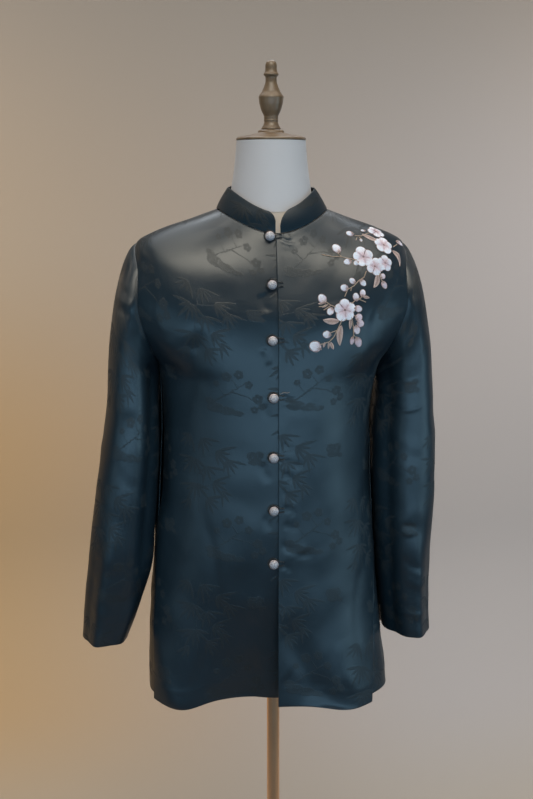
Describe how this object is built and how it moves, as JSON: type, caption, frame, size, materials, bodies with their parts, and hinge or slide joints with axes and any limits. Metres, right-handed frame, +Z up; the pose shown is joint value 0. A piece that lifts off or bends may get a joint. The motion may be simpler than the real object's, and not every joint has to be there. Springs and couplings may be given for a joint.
{
  "type": "mandarin collar shirt on a limbless dress form",
  "caption": "Long-sleeved satin shirt with a stand collar, ball buttons and cord loops, shown on a limbless dress form with a turned finial, pole and round foot.",
  "frame": {"origin": "centre of the round foot's underside, on the pole's axis", "axes": "+Z up along the pole; the shirt's front faces -Y; the wearer's right is -X"},
  "size_m": [0.5746, 0.4, 1.6806],
  "materials": {
    "satin": "dark teal satin with a tone-on-tone woven pattern",
    "pearl": "pale pinkish pearly balls",
    "cord": "dark satin-covered cord",
    "form_cover": "off-white stretch cover",
    "turned_wood": "turned, stained brown, low gloss",
    "pole_metal": "polished tube",
    "foot_metal": "dark satin paint"
  },
  "bodies": {
    "root": {"front_right": "satin", "front_left": "satin", "back": "satin", "sleeve_right": "satin", "sleeve_left": "satin", "collar": "satin", "button_1": "pearl", "button_2": "pearl", "button_3": "pearl", "button_4": "pearl", "button_5": "pearl", "button_6": "pearl", "button_7": "pearl", "loop_1": "cord", "loop_2": "cord", "loop_3": "cord", "loop_4": "cord", "loop_5": "cord", "loop_6": "cord", "loop_7": "cord", "form_torso": "form_cover", "neck_cap": "turned_wood", "finial": "turned_wood", "pole": "pole_metal", "base": "foot_metal"}
  },
  "joints": []
}
